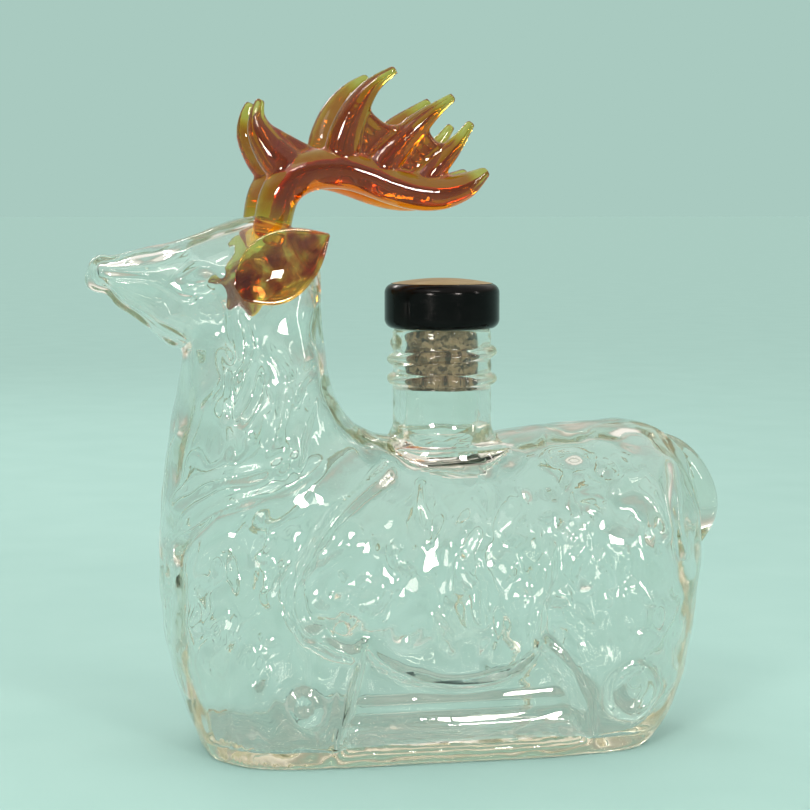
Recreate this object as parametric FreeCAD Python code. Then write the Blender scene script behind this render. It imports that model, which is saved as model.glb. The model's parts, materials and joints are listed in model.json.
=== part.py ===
"""Figural glass decanter: a hollow standing deer in clear glass, with a threaded mouth on its back,
amber antlers and ears of worked rod fused to its head, and a cork stopper with a black head.

Frame: +Z up, the table at z = 0, the axis of the mouth at x = y = 0. The deer looks along -X,
and its left side is the -Y side. All sizes are in millimetres.
"""

import FreeCAD
import Part
import math
import os

Vector = FreeCAD.Vector

# Blown figure
back_height = 77.5          # back beside the mouth, above the table
rump_reach = 66.0           # mouth axis to the rump
chest_reach = 72.0          # mouth axis to the front of the chest
nape_reach = 31.0           # mouth axis to the back of the deer's neck
torso_width = 64.0
neck_depth = 39.0           # deer's neck, front to back
neck_width = 44.0           # deer's neck, side to side, at the shoulder
head_rise = 55.0            # back to the top of the head
head_length = 58.0          # nape to nose
head_width = 28.0
glass_wall = 2.6
base_wall = 4.0

# Recess in each flank, between the fore and hind legs
recess_floor_width = 44.0   # from one recess floor to the other
plinth_height = 4.5         # ledge left under the recess
foreleg_setback = 32.0      # mouth axis to the back edge of the forelegs, at the ledge
hindleg_setback = 30.0      # mouth axis to the front edge of the hind legs
recess_height = 29.0        # top corners of the recess, above the table
belly_drop = 10.0           # how far the belly hangs between those corners

# Threaded mouth
mouth_rise = 27.0           # back to the rim of the mouth
bore_radius = 9.25
mouth_radius = 12.4         # outside of the mouth's tube
mouth_flare = 4.0           # sweep of the foot where the tube meets the back
lip_round = 0.9
thread_proud = 1.6          # thread ridge, beyond the tube
thread_pitch = 4.2
thread_turns = 1.5
thread_drop = 3.4           # rim to the start of the thread
bead_drop = 12.6            # rim to the middle of the ring below the thread
bead_radius = 1.5           # section of that ring

# Stopper
plug_clearance = 0.05       # radial, between plug and bore
plug_length = 15.0          # in the bore
plug_chamfer = 1.5
socket_depth = 3.0          # glued seat of the plug in the head
head_radius = 14.5          # outside of the stopper's head
head_height = 11.4
head_round = 2.4
inlay_radius = 12.7
inlay_depth = 1.6           # seat of the wooden disc
inlay_dome = 1.3            # rise of the disc above the head

# Antlers
antler_spread = 16.0        # between the two antlers, at their roots
antler_setback = 45.0       # mouth axis to the roots
antler_length = 54.0        # roots to the tip of the beam, along the back
antler_rise = 16.5          # roots to the highest stretch of the beam
antler_root_drop = 5.0      # top of the head to where the roots stand in it
beam_radius = 4.8
tine_height = 25.5          # height of the tallest tine above the beam
tine_radius = 4.2

# Ears
ear_length = 26.2
ear_width = 16.8
ear_thickness = 2.8
ear_cup = 2.3               # hollow of the ear's leaf
ear_setback = 53.7          # mouth axis to the front edge of the ears
ear_drop = 18.0             # top of the head to the root of the ears
ear_inset = 0.4             # root of the ear, inside the widest part of the head

# Tail
tail_width = 15.0
tail_bulge = 6.2            # how far the tail stands out from the rump

overrun = 5.0               # every cutter runs past what it cuts by this much
ring_points = 20            # points of one closed section

# Sections of the figure from the haunch to the shoulder, as shares.
# Back point: along, up. Keel point: along, up. Half width, and how square the keel side is.
# Along is a share of the rump's reach behind the mouth; ahead of it, of the nape's reach for
# the back point and of the chest's reach for the keel point. Up is a share of the back's height.
torso_shares = [
    (0.61, 1.036, 0.43, -0.15, 0.485, 4.0),
    (0.36, 1.022, 0.28, -0.15, 0.50, 4.0),
    (0.08, 0.99, 0.06, -0.15, 0.492, 4.0),
    (-0.38, 1.0, -0.26, -0.15, 0.485, 4.0),
    (-0.67, 1.032, -0.53, -0.15, 0.477, 4.0),
    (-0.825, 1.085, -0.735, -0.13, 0.455, 3.6),
    (-0.92, 1.155, -0.88, 0.075, 0.422, 2.8),
    (-0.975, 1.23, -0.975, 0.37, 0.39, 2.5),
]
back_square = 2.3           # roundness of the back side of every section, 2 is an ellipse

# Sections of the deer's neck, as shares. Along is a share of the neck's depth ahead of the nape,
# up a share of the rise from the back to the crown.
neck_shares = [
    (0.0, 0.44, 1.035, -0.40, 0.51),
    (0.012, 0.57, 0.985, -0.03, 0.432),
    (0.012, 0.70, 0.915, 0.25, 0.378),
]

# Sections of the head, as shares. Along is a share of the head's length ahead of the nape.
head_shares = [
    (0.051, 0.88, 0.605, 0.41, 0.53),
    (0.195, 0.997, 0.635, 0.425, 0.50),
    (0.359, 0.993, 0.68, 0.455, 0.462),
    (0.487, 0.948, 0.735, 0.498, 0.405),
    (0.636, 0.891, 0.805, 0.555, 0.336),
    (0.795, 0.856, 0.882, 0.618, 0.276),
    (0.898, 0.834, 0.93, 0.663, 0.235),
]
round_square = 2.2          # roundness of the throat side of neck and head
thinnest_inset_share = 1.5  # a section thinner than this many walls stays out of the cavity

# Rounded ends of the figure, at the rump and the nose: height of the tip as a share of the back's
# height or of the head's rise, and how far round its quarter turn each end is drawn.
rump_tip_share = 0.49
nose_tip_share = 0.762
end_turn_share = 0.95
end_square = 2.5            # roundness of both ends, 2 is an ellipse
end_steps = 6               # sections of one rounded end

# Antler beam: along the antler's length, up its rise, outward as a share of the spread, radius.
beam_shares = [
    (-0.01, -0.10, 0.0, 0.95),
    (0.015, 0.34, 0.06, 0.98),
    (0.04, 0.64, 0.11, 1.0),
    (0.11, 0.89, 0.15, 1.04),
    (0.21, 1.0, 0.19, 1.04),
    (0.37, 0.965, 0.22, 0.98),
    (0.52, 0.79, 0.22, 0.94),
    (0.65, 0.67, 0.21, 0.92),
    (0.78, 0.66, 0.19, 0.88),
    (0.90, 0.78, 0.15, 0.70),
]
beam_tip_shares = (1.0, 0.99, 0.10)

# Tines, root to tip: along the antler's length, up the tine's height from the beam's highest
# stretch, outward as a share of the spread, radius as a share of the tine's.
tine_shares = {
    "brow_tine": [
        (0.13, -0.10, 0.13, 1.30),
        (0.02, 0.14, 0.08, 1.12),
        (-0.045, 0.36, 0.04, 0.80),
        (-0.058, 0.52, 0.02, 0.45),
        (-0.04, 0.66, 0.0, 0.0),
    ],
    "first_crown_tine": [
        (0.31, -0.05, 0.20, 1.12),
        (0.325, 0.30, 0.28, 1.0),
        (0.375, 0.58, 0.38, 0.80),
        (0.45, 0.80, 0.46, 0.48),
        (0.545, 0.94, 0.52, 0.0),
    ],
    "second_crown_tine": [
        (0.45, -0.09, 0.21, 1.08),
        (0.55, 0.18, 0.24, 0.95),
        (0.66, 0.42, 0.27, 0.74),
        (0.75, 0.58, 0.28, 0.45),
        (0.83, 0.70, 0.28, 0.0),
    ],
    "third_crown_tine": [
        (0.63, -0.23, 0.20, 0.92),
        (0.73, -0.02, 0.18, 0.80),
        (0.82, 0.18, 0.16, 0.62),
        (0.885, 0.34, 0.14, 0.38),
        (0.925, 0.46, 0.13, 0.0),
    ],
}

# Ear: along its length, width as a share of the ear's, thickness as a share of the ear's.
ear_shares = [
    (0.0, 0.30, 0.80),
    (0.16, 0.74, 1.0),
    (0.38, 1.0, 1.0),
    (0.60, 0.91, 0.95),
    (0.82, 0.56, 0.80),
]
ear_lean_shares = (0.80, 0.34, 0.54)    # backward, outward and upward parts of the ear's direction

# Tail: along the rump's reach, up the back's height, width and thickness.
tail_shares = [
    (0.80, 0.955, 0.50, 0.65),
    (0.925, 0.90, 0.92, 0.95),
    (1.01, 0.80, 1.0, 1.0),
    (1.03, 0.70, 0.90, 0.85),
]
tail_tip_shares = (1.04, 0.60)

# Places worked out from the sizes above
crown_height = back_height + head_rise
lip_height = back_height + mouth_rise
antler_root_height = crown_height - antler_root_drop
ear_height = crown_height - ear_drop
torso_half = torso_width / 2
plug_radius = bore_radius - plug_clearance
across = Vector(0, 1, 0)
upright = Vector(0, 0, 1)


def smooth_ring(points):
    """Closed smooth wire through the points."""
    curve = Part.BSplineCurve()
    curve.interpolate(Points=points, PeriodicFlag=True)
    return Part.Wire([curve.toShape()])


def oval(middle, up, side, half_height, half_width, low_square=2.0, high_square=2.0):
    """Closed oval section, with its two halves as square as asked."""
    points = []
    for step in range(ring_points):
        turn = 2 * math.pi * step / ring_points
        rise, reach = math.cos(turn), math.sin(turn)
        square = high_square if rise >= 0 else low_square
        size = abs(rise / half_height) ** square + abs(reach / half_width) ** square
        radius = size ** (-1 / square)
        points.append(middle + up * (radius * rise) + side * (radius * reach))
    return smooth_ring(points)


def figure_stations():
    """Back point, keel point, half width and keel squareness of every section, rump to nose."""
    stations = []
    for back_along, back_up, keel_along, keel_up, half_width, square in torso_shares:
        back_x = back_along * (rump_reach if back_along > 0 else nape_reach)
        keel_x = keel_along * (rump_reach if keel_along > 0 else chest_reach)
        back = Vector(back_x, 0, back_up * back_height)
        keel = Vector(keel_x, 0, keel_up * back_height)
        stations.append((back, keel, half_width * torso_width, square))
    for table, depth, width in (
        (neck_shares, neck_depth, neck_width),
        (head_shares, head_length, head_width),
    ):
        for back_along, back_up, keel_along, keel_up, half_width in table:
            back = Vector(-nape_reach - back_along * depth, 0, back_height + back_up * head_rise)
            keel = Vector(-nape_reach - keel_along * depth, 0, back_height + keel_up * head_rise)
            stations.append((back, keel, half_width * width, round_square))
    return stations


def rounded_end(station, tip):
    """Further sections that round the figure off from a station to its tip."""
    back, keel, half_width, square = station
    middle = (back + keel) / 2
    half = (back - keel) / 2
    stations = []
    for step in range(1, end_steps + 1):
        turn = end_turn_share * math.pi / 2 * step / end_steps
        along = math.sin(turn) ** (2 / end_square)
        size = math.cos(turn) ** (2 / end_square)
        centre = middle + (tip - middle) * along
        stations.append((centre + half * size, centre - half * size, half_width * size, square))
    return stations


def figure(inset):
    """The deer's form as one closed solid, drawn in by the inset all round."""
    stations = []
    for back, keel, half_width, square in figure_stations():
        length = (back - keel).Length
        if min(length / 2, half_width) > thinnest_inset_share * inset:
            draw_in = (back - keel) * (inset / length)
            stations.append((back - draw_in, keel + draw_in, half_width - inset, square))
    rump = Vector(rump_reach - inset, 0, rump_tip_share * back_height)
    stations = rounded_end(stations[0], rump)[::-1] + stations
    if inset == 0:
        # The muzzle is solid glass, so only the outer form has this end.
        nose = Vector(-nape_reach - head_length, 0, back_height + nose_tip_share * head_rise)
        stations += rounded_end(stations[-1], nose)
    sections = []
    for back, keel, half_width, square in stations:
        middle = (back + keel) / 2
        half_height = (back - keel).Length / 2
        up = (back - keel).normalize()
        sections.append(oval(middle, up, across, half_height, half_width, square, back_square))
    return Part.makeLoft(sections, True)


def below(height):
    """Everything under a level, wide enough to cut the whole figure."""
    reach = chest_reach + rump_reach + head_length
    corner = Vector(-reach, -reach, height - reach)
    return Part.makeBox(2 * reach, 2 * reach, reach, corner)


def flank_recesses(grow):
    """The two pockets between the legs, grown outward by a wall for the cavity's side."""
    low = plinth_height - grow
    front, rear = -foreleg_setback - grow, hindleg_setback + grow
    top = recess_height + grow
    front_top = Vector(front + (recess_height - plinth_height) / 4, 0, top)
    rear_top = Vector(rear - (recess_height - plinth_height) / 2, 0, top)
    sag = Vector((front_top.x + rear_top.x) / 2, 0, top - belly_drop)
    rear_low = Vector(rear, 0, low)
    front_low = Vector(front, 0, low)
    knee = (rear_top + rear_low) / 2 + Vector((rear_low.x - rear_top.x) / 4, 0, 0)
    outline = Part.Wire([
        Part.LineSegment(front_low, front_top).toShape(),
        Part.Arc(front_top, sag, rear_top).toShape(),
        Part.Arc(rear_top, knee, rear_low).toShape(),
        Part.LineSegment(rear_low, front_low).toShape(),
    ])
    floor = recess_floor_width / 2 - grow
    depth = torso_half + overrun - floor
    face = Part.Face(outline)
    right = face.translated(across * floor).extrude(across * depth)
    left = face.translated(across * -floor).extrude(across * -depth)
    return [right, left]


def figure_outside():
    """The figure's outer form, standing flat on the table, with its two flank recesses."""
    return figure(0).cut(below(0)).cut(Part.Compound(flank_recesses(0)))


def glass_body(outside):
    """Blown glass shell, open under the mouth."""
    cavity = figure(glass_wall).cut(below(base_wall))
    cavity = cavity.cut(Part.Compound(flank_recesses(glass_wall)))
    opening = Part.makeCylinder(bore_radius, lip_height, Vector(0, 0, back_height / 2))
    return outside.cut(cavity).cut(opening)


def turned(edges):
    """Solid of revolution about the mouth's axis, from the edges of its profile."""
    solid = Part.Face(Part.Wire(edges)).revolve(Vector(), upright, 360)
    if solid.Volume < 0:
        solid.reverse()
    return solid


def line(start, end):
    """Straight edge in the profile plane, between (radius, height) pairs."""
    return Part.LineSegment(Vector(start[0], 0, start[1]), Vector(end[0], 0, end[1])).toShape()


def arc(start, middle, end):
    """Round edge in the profile plane, through (radius, height) pairs."""
    return Part.Arc(*(Vector(point[0], 0, point[1]) for point in (start, middle, end))).toShape()


def mouth_tube(outside):
    """Threaded mouth, its swept foot shaped to the deer's back."""
    foot = back_height - mouth_flare - overrun
    tube = Part.makeCylinder(mouth_radius, lip_height - foot, Vector(0, 0, foot))
    sweep_top = (mouth_radius, back_height + mouth_flare)
    sweep_low = (mouth_radius + mouth_flare, back_height - mouth_flare / 2)
    sweep_mid = (mouth_radius + mouth_flare / 4, back_height + mouth_flare / 4)
    corner = (bore_radius, foot)
    sweep = turned([
        arc(sweep_top, sweep_mid, sweep_low),
        line(sweep_low, (sweep_low[0], foot)),
        line((sweep_low[0], foot), corner),
        line(corner, (bore_radius, sweep_top[1])),
        line((bore_radius, sweep_top[1]), sweep_top),
    ])
    bead = Part.makeTorus(mouth_radius, bead_radius, Vector(0, 0, lip_height - bead_drop))
    bore = Part.makeCylinder(bore_radius, lip_height - foot, Vector(0, 0, foot))
    tube = tube.fuse([sweep, bead, thread_ridge()]).cut(bore)
    rim = [edge for edge in tube.Edges if edge.Closed and edge.BoundBox.ZMin > lip_height - lip_round]
    return largest_solid(tube.makeFillet(lip_round, rim).cut(outside))


def thread_ridge():
    """Rounded helical ridge round the mouth."""
    height = thread_pitch * thread_turns
    start = lip_height - thread_drop - height
    helix = Part.makeHelix(thread_pitch, height, mouth_radius)
    helix.translate(upright * start)
    slope = Vector(0, 2 * math.pi * mouth_radius, thread_pitch)
    section = Part.Wire([Part.Circle(Vector(mouth_radius, 0, start), slope, thread_proud).toShape()])
    return Part.Wire(helix.Edges).makePipeShell([section], True, True)


def tapered_rod(points, radii, tip):
    """Round rod drawn out through the points, with a steady sideways axis, to a tip."""
    path = points + [tip]
    sections = []
    for index, (point, radius) in enumerate(zip(points, radii)):
        before = path[max(index - 1, 0)]
        along = (path[index + 1] - before).normalize()
        side = (across - along * across.dot(along)).normalize()
        sections.append(oval(point, side.cross(along), side, radius, radius))
    return Part.makeLoft(sections + [Part.Vertex(tip)], True)


def antler_point(along, height, outward):
    """Place on the left antler."""
    x = -antler_setback + along * antler_length
    y = -antler_spread / 2 - outward * antler_spread
    return Vector(x, y, height)


def antler_beam(outside):
    """Main stem of the left antler, its root shaped to the head."""
    points = []
    radii = []
    for along, up, outward, radius in beam_shares:
        height = antler_root_height + up * antler_rise
        points.append(antler_point(along, height, outward))
        radii.append(radius * beam_radius)
    along, up, outward = beam_tip_shares
    tip = antler_point(along, antler_root_height + up * antler_rise, outward)
    return tapered_rod(points, radii, tip).cut(outside)


def antler_tine(name, seats):
    """One drawn-out tine of the left antler, its root shaped to the pieces that it is fused to."""
    points = []
    radii = []
    for along, up, outward, radius in tine_shares[name]:
        height = antler_root_height + antler_rise + up * tine_height
        points.append(antler_point(along, height, outward))
        radii.append(radius * tine_radius)
    tine = tapered_rod(points[:-1], radii[:-1], points[-1])
    for seat in seats:
        tine = tine.cut(seat)
    return largest_solid(tine)


def largest_solid(shape):
    """The main solid of a cut, without chips on the far side of the cutter."""
    return max(shape.Solids, key=lambda solid: solid.Volume)


def ear(seats):
    """Cupped leaf-shaped left ear, its root shaped to the head."""
    back, out, up = ear_lean_shares
    lean = Vector(back, -out, up).normalize()
    broad = (upright - lean * upright.dot(lean)).normalize()
    normal = lean.cross(broad)
    root = Vector(-ear_setback, ear_inset - head_width / 2, ear_height)
    sections = []
    for along, width, thickness in ear_shares:
        points = []
        for step in range(ring_points):
            turn = 2 * math.pi * step / ring_points
            breadth = math.cos(turn)
            cup = ear_cup * (breadth ** 2 - 1) * width
            depth = math.sin(turn) * ear_thickness * thickness / 2 + cup
            points.append(root + lean * (along * ear_length)
                          + broad * (breadth * width * ear_width / 2) + normal * depth)
        sections.append(smooth_ring(points))
    leaf = Part.makeLoft(sections + [Part.Vertex(root + lean * ear_length)], True)
    for seat in seats:
        leaf = leaf.cut(seat)
    return largest_solid(leaf)


def tail(outside):
    """Short tail pressed on over the rump."""
    path = []
    for along, up, *_ in tail_shares:
        path.append(Vector(along * rump_reach, 0, up * back_height))
    tip_along, tip_up = tail_tip_shares
    path.append(Vector(tip_along * rump_reach, 0, tip_up * back_height))
    sections = []
    for index, (_, _, width, thickness) in enumerate(tail_shares):
        along = (path[index + 1] - path[max(index - 1, 0)]).normalize()
        up = across.cross(along)
        if up.z < 0 and up.x < 0:
            up = up * -1
        sections.append(oval(path[index], up, across, thickness * tail_bulge, width * tail_width / 2))
    return largest_solid(Part.makeLoft(sections + [Part.Vertex(path[-1])], True).cut(outside))


def stopper_plug():
    """Cork shank, chamfered at the foot and seated in the stopper's head."""
    plug = Part.makeCylinder(plug_radius, plug_length + socket_depth,
                             Vector(0, 0, lip_height - plug_length))
    foot = min(plug.Edges, key=lambda edge: edge.BoundBox.ZMax)
    return plug.makeChamfer(plug_chamfer, [foot])


def stopper_head():
    """Black head that rests on the rim, with a seat below for the plug and above for the disc."""
    head = Part.makeCylinder(head_radius, head_height, Vector(0, 0, lip_height))
    rims = [edge for edge in head.Edges if edge.Closed]
    head = head.makeFillet(head_round, rims)
    socket = Part.makeCylinder(plug_radius, socket_depth, Vector(0, 0, lip_height))
    seat = Part.makeCylinder(inlay_radius, inlay_depth + overrun,
                             Vector(0, 0, lip_height + head_height - inlay_depth))
    return head.cut(socket).cut(seat)


def stopper_inlay():
    """Wooden disc with a low dome, let into the top of the head."""
    edge_level = lip_height + head_height
    seat_level = edge_level - inlay_depth
    top_level = edge_level + inlay_dome
    dome_radius = (inlay_radius ** 2 + inlay_dome ** 2) / (2 * inlay_dome)
    half = inlay_radius / 2
    half_level = top_level - dome_radius + math.sqrt(dome_radius ** 2 - half ** 2)
    return turned([
        line((0, seat_level), (inlay_radius, seat_level)),
        line((inlay_radius, seat_level), (inlay_radius, edge_level)),
        arc((inlay_radius, edge_level), (half, half_level), (0, top_level)),
        line((0, top_level), (0, seat_level)),
    ])


def build():
    """Every piece of the decanter, by its node's name."""
    outside = figure_outside()
    pieces = {
        "glass_body": glass_body(outside),
        "mouth_tube": mouth_tube(outside),
        "tail": tail(outside),
        "stopper_plug": stopper_plug(),
        "stopper_head": stopper_head(),
        "stopper_inlay": stopper_inlay(),
    }
    beam = antler_beam(outside)
    left_pieces = {"antler_beam": beam}
    seats = [outside, beam]
    for name in tine_shares:
        left_pieces[name] = antler_tine(name, seats)
        seats.append(left_pieces[name])
    left_pieces["ear"] = ear([outside, beam])
    for name, piece in left_pieces.items():
        pieces[f"left_{name}"] = piece
        pieces[f"right_{name}"] = piece.mirror(Vector(), across)
    return pieces


os.makedirs("parts", exist_ok=True)
for node, shape in build().items():
    print(node, shape.isValid(), len(shape.Solids), round(shape.Volume, 1))
    shape.exportStep(f"parts/{node}.step")
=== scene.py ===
"""Looks of the glass deer decanter: moulded clear glass, drawn amber antlers and ears, cork stopper.

Shapes are worked out in millimetres, in the frame of the CAD model: +Z up, the table at z = 0, the
axis of the mouth at x = y = 0, the deer looking along -X and its left side on the -Y side.
"""

import json
import math

import bmesh
import bpy
import numpy as np
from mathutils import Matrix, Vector

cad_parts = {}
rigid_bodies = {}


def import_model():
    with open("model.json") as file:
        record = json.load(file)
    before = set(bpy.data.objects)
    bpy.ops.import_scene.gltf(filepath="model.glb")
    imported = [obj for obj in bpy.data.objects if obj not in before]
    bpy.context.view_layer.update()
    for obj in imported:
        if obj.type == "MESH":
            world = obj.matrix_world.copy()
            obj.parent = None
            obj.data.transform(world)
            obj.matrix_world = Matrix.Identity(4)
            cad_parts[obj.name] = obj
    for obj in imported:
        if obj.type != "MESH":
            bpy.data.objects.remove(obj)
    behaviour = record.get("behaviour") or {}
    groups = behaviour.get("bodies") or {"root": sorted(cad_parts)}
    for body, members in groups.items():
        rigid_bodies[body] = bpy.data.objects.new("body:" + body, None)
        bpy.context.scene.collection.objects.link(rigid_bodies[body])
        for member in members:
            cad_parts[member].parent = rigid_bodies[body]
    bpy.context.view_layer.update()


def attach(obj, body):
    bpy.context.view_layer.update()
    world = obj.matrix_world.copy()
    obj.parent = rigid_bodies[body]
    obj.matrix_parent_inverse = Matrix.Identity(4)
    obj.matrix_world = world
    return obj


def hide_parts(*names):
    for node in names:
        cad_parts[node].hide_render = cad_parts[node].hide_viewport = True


for leftover in list(bpy.data.objects):
    bpy.data.objects.remove(leftover)
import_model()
scene = bpy.context.scene

MM = 0.001
ACROSS = np.array([0.0, 1.0, 0.0])
UPRIGHT = np.array([0.0, 0.0, 1.0])

# Blown figure: the sizes of the CAD model, with a thicker wall that leaves room for the relief
BACK_HEIGHT = 77.5
RUMP_REACH = 66.0
CHEST_REACH = 72.0
NAPE_REACH = 31.0
TORSO_WIDTH = 64.0
NECK_DEPTH = 39.0
NECK_WIDTH = 44.0
HEAD_RISE = 55.0
HEAD_LENGTH = 58.0
HEAD_WIDTH = 28.0
GLASS_WALL = 2.9
BASE_WALL = 4.0
BASE_ROUND = 1.2
CAVITY_ROUND = 2.5

# Recess in each flank
RECESS_FLOOR = 22.0
PLINTH_HEIGHT = 4.5
FORELEG_SETBACK = 32.0
HINDLEG_SETBACK = 30.0
FORELEG_SLOPE = 0.25
HINDLEG_SLOPE = 0.5
RECESS_HEIGHT = 29.0
BELLY_DROP = 10.0
RECESS_SOFTNESS = 3.4
RECESS_INNER_GROW = 1.0
STREAK_LEVELS = (8.5, 14.0)
STREAK_WIDTH = 1.4
STREAK_HEIGHT = 0.7

# Threaded mouth
MOUTH_HEIGHT = 27.0
LIP_HEIGHT = BACK_HEIGHT + MOUTH_HEIGHT
LIP_ROUND = 0.9
BORE_RADIUS = 9.25
BORE_SINK = 14.0
BORE_OVERSHOOT = 2.0
MOUTH_RADIUS = 12.4
MOUTH_FLARE = 4.0
MOUTH_SINK = 6.0
SWEEP_SHARE = 1.6
SWEEP_STEP = 0.5
THREAD_PROUD = 1.5
THREAD_PITCH = 4.2
THREAD_TURNS = 1.5
THREAD_DROP = 3.4
THREAD_FADE = 0.12
THREAD_ROUND = 0.6
MOUTH_RIPPLE = 0.09
MOUTH_RIPPLE_LENGTH = 5.3
MOUTH_RIPPLE_LOBES = 5
BEAD_DROP = 12.6
BEAD_RADIUS = 1.5
BEAD_STEP = 0.2

# Stopper
PLUG_CLEARANCE = 0.05
PLUG_LENGTH = 15.0
PLUG_CHAMFER = 1.5
PLUG_FOOT_EASE = 0.1
PLUG_SIDE_EASE = 0.15
HEAD_RADIUS = 14.5
HEAD_HEIGHT = 11.4
HEAD_ROUND = 2.4
HEAD_LIFT = 0.03
SOCKET_DEPTH = 3.0
SOCKET_PLAY = 0.05
SOCKET_ROOF_PLAY = 0.1
UNDERSIDE_STEP = 0.2
INLAY_RADIUS = 12.7
INLAY_DEPTH = 1.6
INLAY_DOME = 1.3
INLAY_PLAY = 0.03
INLAY_LIFT = 0.02
INLAY_EDGE_DROP = 0.25
INLAY_EASE = 0.1
INLAY_CENTRE = 0.4

# Antlers and ears
ANTLER_SPREAD = 16.0
ANTLER_SETBACK = 45.0
ANTLER_LENGTH = 54.0
ANTLER_RISE = 16.5
ANTLER_DROP = 5.0
ANTLER_ROOT = BACK_HEIGHT + HEAD_RISE - ANTLER_DROP
BEAM_RADIUS = 4.8
TINE_HEIGHT = 25.5
TINE_RADIUS = 4.2
TINE_FLATNESS = 0.85
TIP_SHARE = 0.28
EAR_LENGTH = 26.2
EAR_WIDTH = 16.8
EAR_THICKNESS = 2.8
EAR_CUP = 2.3
EAR_SETBACK = 53.7
EAR_DROP = 18.0
EAR_HEIGHT = BACK_HEIGHT + HEAD_RISE - EAR_DROP
EAR_INSET = 0.4

# Melting of the antlers, and the webs between their tines
FUSE_DEPTH = 0.4
ANTLER_VOXEL = 0.5
FLOW_FACTOR = 0.5
FLOW_STEPS = 8
BEAM_TOP = slice(3, 6)
WEB_ROWS = 8
WEB_REACH = 2.1
WEB_RADIUS = 1.5
WEB_SAG = 0.24
BROW_REACH = 2.4
BROW_SAG = 0.02

# Tint of the amber, from 0 where it is deep to 1 where it is pale, and where it turns
TINE_TURN = (1, 7)
TIP_TURN = (1, 9.0)
ROOT_TURN = (1, 12.0)
EDGE_TURN = (0.32, 0.88)
# Turn of the painted shade that keeps the antlers' undersides deep
UNDERSIDE_PAINTED_SHADE_TURN = (0.1, 0.6)
ROOT_TINT = 0.8
BEAM_EDGE_TINT = 0.4
EAR_EDGE_TURN = (0.5, 1.0)
EAR_MIDDLE_TINT = 0.34

# Tail
TAIL_WIDTH = 15.0
TAIL_BULGE = 6.2

# Sections of the torso: back point along and up, keel point along and up, half width, squareness
TORSO_SHARES = [
    (0.61, 1.036, 0.43, -0.15, 0.485, 4.0),
    (0.36, 1.022, 0.28, -0.15, 0.50, 4.0),
    (0.08, 0.99, 0.06, -0.15, 0.492, 4.0),
    (-0.38, 1.0, -0.26, -0.15, 0.485, 4.0),
    (-0.67, 1.032, -0.53, -0.15, 0.477, 4.0),
    (-0.825, 1.085, -0.735, -0.13, 0.455, 3.6),
    (-0.92, 1.155, -0.88, 0.075, 0.422, 2.8),
    (-0.975, 1.23, -0.975, 0.37, 0.39, 2.5),
]

# Sections of the neck and the head: back point along and up, keel point along and up, half width
NECK_SHARES = [
    (0.0, 0.44, 1.035, -0.40, 0.51),
    (0.012, 0.57, 0.985, -0.03, 0.432),
    (0.012, 0.70, 0.915, 0.25, 0.378),
]
HEAD_SHARES = [
    (0.051, 0.88, 0.605, 0.41, 0.53),
    (0.195, 0.997, 0.635, 0.425, 0.50),
    (0.359, 0.993, 0.68, 0.455, 0.462),
    (0.487, 0.948, 0.735, 0.498, 0.405),
    (0.636, 0.891, 0.805, 0.555, 0.336),
    (0.795, 0.856, 0.882, 0.618, 0.276),
    (0.898, 0.834, 0.93, 0.663, 0.235),
]

# Squareness of the sections, and the rounded ends of the figure
BACK_SQUARE = 2.3
ROUND_SQUARE = 2.2
OVAL_SQUARE = 2
RUMP_TIP_SHARE = 0.49
NOSE_TIP_SHARE = 0.762
END_TURN_SHARE = 0.95
END_SQUARE = 2.5
END_STEPS = 6
HOLLOW_NOSE_SHARE = 0.4

# Rods of an antler: along, up, outward, radius
BEAM_SHARES = [
    (-0.01, -0.10, 0.0, 0.95),
    (0.015, 0.34, 0.06, 0.98),
    (0.04, 0.64, 0.11, 1.0),
    (0.11, 0.89, 0.15, 1.04),
    (0.21, 1.0, 0.19, 1.04),
    (0.37, 0.965, 0.22, 0.98),
    (0.52, 0.79, 0.22, 0.94),
    (0.65, 0.67, 0.21, 0.92),
    (0.78, 0.66, 0.19, 0.88),
    (0.90, 0.78, 0.15, 0.70),
    (1.0, 0.99, 0.10, 0.06),
]
TINE_SHARES = {
    "brow": [
        (0.13, -0.10, 0.13, 1.30), (0.02, 0.14, 0.08, 1.12), (-0.045, 0.36, 0.04, 0.80),
        (-0.058, 0.52, 0.02, 0.45), (-0.04, 0.66, 0.0, 0.06),
    ],
    "first_crown": [
        (0.31, -0.05, 0.20, 1.12), (0.325, 0.30, 0.28, 1.0), (0.375, 0.58, 0.38, 0.80),
        (0.45, 0.80, 0.46, 0.48), (0.545, 0.94, 0.52, 0.06),
    ],
    "second_crown": [
        (0.45, -0.09, 0.21, 1.08), (0.55, 0.18, 0.24, 0.95), (0.66, 0.42, 0.27, 0.74),
        (0.75, 0.58, 0.28, 0.45), (0.83, 0.70, 0.28, 0.06),
    ],
    "third_crown": [
        (0.63, -0.23, 0.20, 0.92), (0.73, -0.02, 0.18, 0.80), (0.82, 0.18, 0.16, 0.62),
        (0.885, 0.34, 0.14, 0.38), (0.925, 0.46, 0.13, 0.06),
    ],
}

# Sections of an ear: along, width, thickness; and its lean back, out and up
EAR_SHARES = [
    (0.0, 0.30, 0.80),
    (0.16, 0.74, 1.0),
    (0.38, 1.0, 1.0),
    (0.60, 0.91, 0.95),
    (0.82, 0.56, 0.80),
    (1.0, 0.04, 0.20),
]
EAR_LEAN_SHARES = (0.80, 0.34, 0.54)

# Sections of the tail: along, up, width, thickness
TAIL_SHARES = [
    (0.80, 0.955, 0.50, 0.65),
    (0.925, 0.90, 0.92, 0.95),
    (1.01, 0.80, 1.0, 1.0),
    (1.03, 0.70, 0.90, 0.85),
    (1.04, 0.60, 0.05, 0.05),
]

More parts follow.
